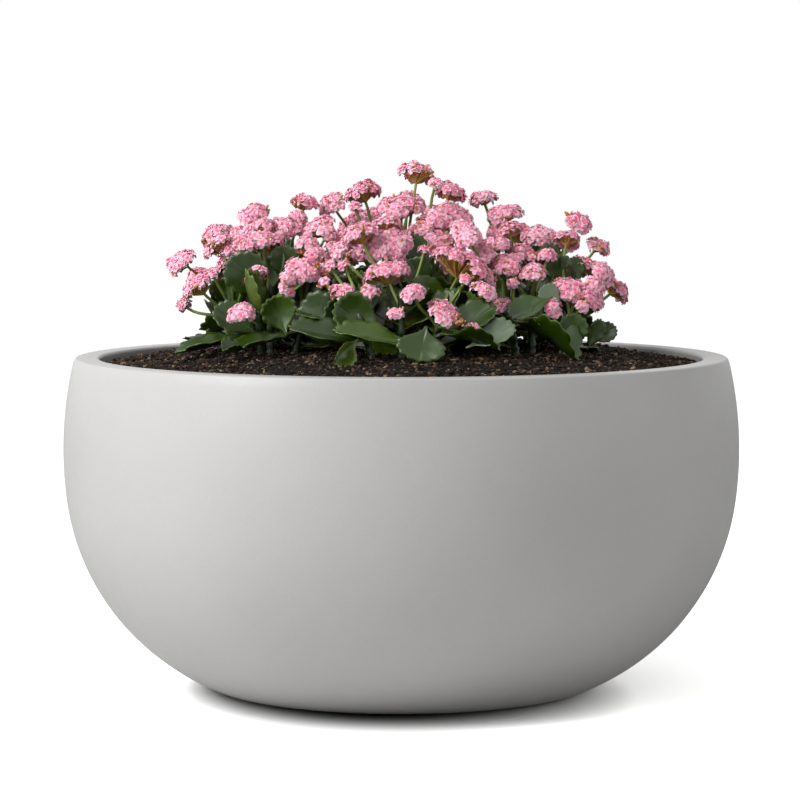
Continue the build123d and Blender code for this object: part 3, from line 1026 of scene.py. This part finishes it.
def corymb(tip, axis, width, budShare, dice):
    # places florets and buds in small lobes on a dome over the tip, with a twig to each
    side = axis.cross(Vector((0.31, 0.2, 0.9))).normalized()
    other = axis.cross(side)
    reach = max(0, width / 2 - cluster["inset"])
    domeShare, domeLess, domeLeast = cluster["dome"]
    dome = max(domeLeast, domeShare * width - domeLess)
    heart = tip + axis * cluster["rise"] * width
    crotch = tip - axis * min(cluster["crotch"][0] * width, cluster["crotch"][1])
    lobeReach = min(cluster["lobe"], max(cluster["smallLobe"][0], width * cluster["smallLobe"][1]))
    half = cluster["lobeSpacing"] / 2
    lobes = max(1, round(cluster["fill"] * ((reach + half) / half) ** 2))
    wide, rimLean, wideLean = cluster["wide"]
    florets, buds, twigs = [], [], []
    for k in range(lobes):
        share = math.sqrt((k + 0.3) / lobes)
        polar = (rimLean if width < wide else wideLean) * share if lobes > 1 else 0
        turn = golden * k + dice.uniform(-0.25, 0.25)
        around = side * math.cos(turn) + other * math.sin(turn)
        drop = dice.uniform(-0.004, 0.002)
        out = around * reach * math.sin(polar) * dice.uniform(0.9, 1.04)
        middle = heart + out + axis * (dome * math.cos(polar) + drop)
        facing = (around * math.sin(polar) * 0.65 + axis * (math.cos(polar) + 0.45)).normalized()
        facing = (facing + shaken(0.14, dice)).normalized()
        fork = middle - facing * lobeReach * 0.9
        twigs.append(([crotch, crotch.lerp(fork, 0.55) + around * 0.04 * width, fork], 0.0015))
        if dice.random() < budShare:
            buds += budBunch(middle - facing * 0.004, facing, dice.randint(7, 11), 0.0065, 0.2, dice)
            continue
        count = dice.choice((4, 5, 5) if width > cluster["few"] else (2, 3, 3))
        opened, thin = lobeOf(middle, facing, fork, lobeReach, count, (side, other), dice)
        florets += opened
        twigs += thin
        buds += budBunch(fork + facing * 0.002, facing, dice.randint(3, 5), 0.0075, 0.1, dice)
    for _ in range(round(width * cluster["skirt"])):
        turn = dice.uniform(0, math.tau)
        around = side * math.cos(turn) + other * math.sin(turn)
        part = math.sqrt(dice.uniform(0.06, 1))
        rise = 0.15 * part - 0.10 + dice.uniform(0, 0.05)
        spot = tip + around * (width / 2 - cluster["skirtInset"]) * part + axis * width * rise
        facing = (around + axis * dice.uniform(-0.1, 1.2)).normalized()
        buds.append((spot, facing, dice.uniform(0.0044, 0.0068), dice.random() ** 1.3 * 0.75))
        twigs.append(([crotch, crotch.lerp(spot, 0.5) + axis * 0.001, spot], 0.0011))
    return florets, buds, twigs


def tubes(name, paths, sides):
    # a curve with one spline for each path of (points, radii), made a mesh
    curve = bpy.data.curves.new(name, "CURVE")
    curve.dimensions = "3D"
    curve.bevel_depth = 1
    curve.bevel_resolution = 0 if sides == 4 else 1
    curve.use_fill_caps = True
    for points, radii in paths:
        line = curve.splines.new("POLY")
        line.points.add(len(points) - 1)
        for corner, spot, radius in zip(line.points, points, radii):
            corner.co = (*spot, 1)
            corner.radius = radius
    piece = bpy.data.objects.new(name, curve)
    bpy.context.scene.collection.objects.link(piece)
    only(piece)
    bpy.ops.object.convert(target="MESH")
    piece = bpy.context.object
    bpy.ops.object.shade_smooth()
    return piece


stalk = {"steps": 10, "radius": 0.0027, "taper": 0.0007, "swell": 0.0008, "arrive": 0.38, "shootTop": 0.06}


def gapTo(tip, shoot):
    return (shoot[0] + shoot[1] * stalk["shootTop"] - tip).length


def stalkPath(start, tip, axis):
    # a curve that leaves the shoot upwards and comes in along the head's axis
    length = (tip - start).length
    lead = start + Vector((0, 0, 0.36 * length)) * 0.6 + (tip - start) * 0.14
    arrive = tip - axis * stalk["arrive"] * length
    points, radii = [], []
    for k in range(stalk["steps"] + 1):
        t = k / stalk["steps"]
        s = 1 - t
        points.append(start * s**3 + lead * 3 * s * s * t + arrive * 3 * s * t * t + tip * t**3)
        radii.append(stalk["radius"] - stalk["taper"] * t + (stalk["swell"] * max(0, 1 - 8 * t)))
    return points, radii


firstSeed = 100
budChance = {"main": 0.07, "open": 0.1, "budded": 0.6}
for order, name in enumerate(plantNames):
    dice = random.Random(firstSeed + order)
    foot = footOf(name)
    shoots = shootsOf(name, foot, dice)
    stems = [stemOf(name, spot, axis, tiers) for spot, axis, tiers, _ in shoots]
    foliage = joined(name + "Leaves", stems + leavesOf(name, shoots, dice))
    only(foliage)
    bpy.ops.object.shade_smooth()
    finished(foliage, "foliage", leafSkin, name + "_leaves")
    stalks, twigs = [], []
    bloomSpots, bloomTints = [[], [], []], [[], [], []]
    budSpots, budTints = [], []
    shares = [budChance["main"]] * len(mainHeads[name])
    shares += [budChance["budded" if row[4] else "open"] for row in sideHeads.get(name, [])]
    for (tip, axis, width), share in zip(mainHeads[name] + extraHeads[name], shares):
        spot, way, tiers, _ = min(shoots, key=lambda shoot: gapTo(tip, shoot))
        stalks.append(stalkPath(spot + way * tiers[-2][1], tip, axis))
        florets, buds, thin = corymb(tip, axis, width, share, dice)
        mood = dice.uniform(-0.12, 0.22)
        for spot, facing, size in florets:
            kind = dice.randrange(3)
            bloomSpots[kind].append(upright(spot, facing, size, dice.uniform(0, math.tau)))
            bloomTints[kind].append(min(1, max(0, 0.35 + mood + dice.uniform(-0.3, 0.35))))
        for spot, facing, size, tint in buds:
            budSpots.append(upright(spot, facing, size, dice.uniform(0, math.tau)))
            budTints.append(tint)
        for points, radius in thin:
            twigs.append((points, [radius * 1.25, radius, radius * 0.9]))
    finished(tubes(name + "Stalks", stalks, 8), "foliage", stalkSkin)
    finished(tubes(name + "Twigs", twigs, 4), "foliage", twigSkin)
    blooms = [copiesOf(f"{name}Bloom{k}", floretTemplates[k], bloomSpots[k], bloomTints[k])
              for k in range(3) if bloomSpots[k]]
    finished(joined(name + "Flowers", blooms), "petals", petalSkin, name + "_flowers")
    finished(copiesOf(name + "Buds", bud, budSpots, budTints), "petals", budSkin)
    print(name, "heads", len(stalks), "florets", sum(len(s) for s in bloomSpots), "buds", len(budSpots))
for template in [*leafTemplates.values(), *floretTemplates, bud]:
    away(template)

# floor, light and camera
studio = {
    "floorSize": 60,
    "floorWhite": 4.0,  # how pale the floor looks to the camera alone
    "paintedShadowReach": (0.15, 0.42),  # and a shadow painted into its colour beside the foot fades out between these distances
    # the painted shadow's oval: its stretch, and its shift from the middle of the planter
    "paintedShadowStretch": (1.25, 1, 0),
    "paintedShadowShift": (0.025, 0.08, 0),
    "distance": 5.0,
    "eyeHeight": 0.768,
    "pitch": 4.32,
    "lens": 166.41,
    "shift": -0.0016,
    "worldLight": 0.25,
    "aim": (0, 0, 0.3),
    # lamps: name, place, size, power
    "lamps": [
        ("highLeft", (-2.6, -1.6, 2.8), 2.2, 116),
        ("frontLeft", (-3.0, -2.8, 1.5), 2.2, 22),
        ("rightFill", (3.6, -0.8, 1.2), 2.4, 14),
    ],
}
bpy.ops.object.select_all(action="DESELECT")
bpy.ops.mesh.primitive_plane_add(size=studio["floorSize"], location=(0, 0, -0.0005))
floor = bpy.context.object
floor.name = "studioFloor"
white = bpy.data.materials.new("whiteFloor")
white.use_nodes = True
tree = white.node_tree
tree.nodes.remove(tree.nodes["Principled BSDF"])
path = node(tree, "LightPath")
level = node(tree, "MapRange")
level.inputs["To Min"].default_value = 0.8
# painted shadow: to the camera the floor's colour is floorWhite times the square of a ramp over the distance
# from a stretched, shifted point by the foot, so it is painted darker, down to black, close to the bowl
# whatever the lamps do
place = node(tree, "TexCoord")
paintedShadowOval = node(tree, "VectorMath", operation="MULTIPLY_ADD")
paintedShadowOval.inputs[1].default_value = studio["paintedShadowStretch"]
paintedShadowOval.inputs[2].default_value = studio["paintedShadowShift"]
reach = node(tree, "VectorMath", operation="LENGTH")
share = node(tree, "MapRange")
share.inputs["From Min"].default_value, share.inputs["From Max"].default_value = studio["paintedShadowReach"]
squared = node(tree, "Math", operation="POWER")
squared.inputs[1].default_value = 2
palenessWithPaintedShadow = node(tree, "Math", operation="MULTIPLY")
palenessWithPaintedShadow.inputs[1].default_value = studio["floorWhite"]
tree.links.new(place.outputs["Object"], paintedShadowOval.inputs[0])
tree.links.new(paintedShadowOval.outputs["Vector"], reach.inputs[0])
tree.links.new(reach.outputs["Value"], share.inputs["Value"])
tree.links.new(share.outputs[0], squared.inputs[0])
tree.links.new(squared.outputs[0], palenessWithPaintedShadow.inputs[0])
tree.links.new(palenessWithPaintedShadow.outputs[0], level.inputs["To Max"])
matt = node(tree, "BsdfDiffuse")
tree.links.new(path.outputs["Is Camera Ray"], level.inputs["Value"])
tree.links.new(level.outputs[0], matt.inputs["Color"])
tree.links.new(matt.outputs[0], tree.nodes["Material Output"].inputs["Surface"])
floor.data.materials.append(white)

world = bpy.data.worlds.new("studioWorld")
bpy.context.scene.world = world
world.use_nodes = True
tree = world.node_tree
backdrop = tree.nodes["Background"]
path = node(tree, "LightPath")
seen = node(tree, "Math", operation="MAXIMUM")
mirrored = node(tree, "Math", operation="MAXIMUM")
level = node(tree, "MapRange")
level.inputs["To Min"].default_value = studio["worldLight"]
level.inputs["To Max"].default_value = 1.0
tree.links.new(path.outputs["Is Camera Ray"], seen.inputs[0])
tree.links.new(path.outputs["Is Transmission Ray"], seen.inputs[1])
tree.links.new(seen.outputs[0], mirrored.inputs[0])
tree.links.new(path.outputs["Is Glossy Ray"], mirrored.inputs[1])
tree.links.new(mirrored.outputs[0], level.inputs["Value"])
tree.links.new(level.outputs[0], backdrop.inputs["Strength"])
backdrop.inputs["Color"].default_value = (1, 1, 1, 1)


def areaLamp(name, place, size, power):
    lamp = bpy.data.lights.new(name, "AREA")
    lamp.shape = "RECTANGLE"
    lamp.size, lamp.size_y = size, size
    lamp.energy = power
    piece = bpy.data.objects.new(name, lamp)
    bpy.context.scene.collection.objects.link(piece)
    piece.location = place
    piece.rotation_euler = (Vector(studio["aim"]) - Vector(place)).to_track_quat("-Z", "Y").to_euler()


for lamp in studio["lamps"]:
    areaLamp(*lamp)

eye = bpy.data.cameras.new("photoCamera")
eye.lens = studio["lens"]
eye.sensor_width = 36
eye.shift_x = studio["shift"]
camera = bpy.data.objects.new("photoCamera", eye)
bpy.context.scene.collection.objects.link(camera)
camera.location = (0, -studio["distance"], studio["eyeHeight"])
camera.rotation_euler = (math.radians(90 - studio["pitch"]), 0, 0)
bpy.context.scene.camera = camera
bpy.context.scene.view_settings.view_transform = "Standard"
print("studio lit")
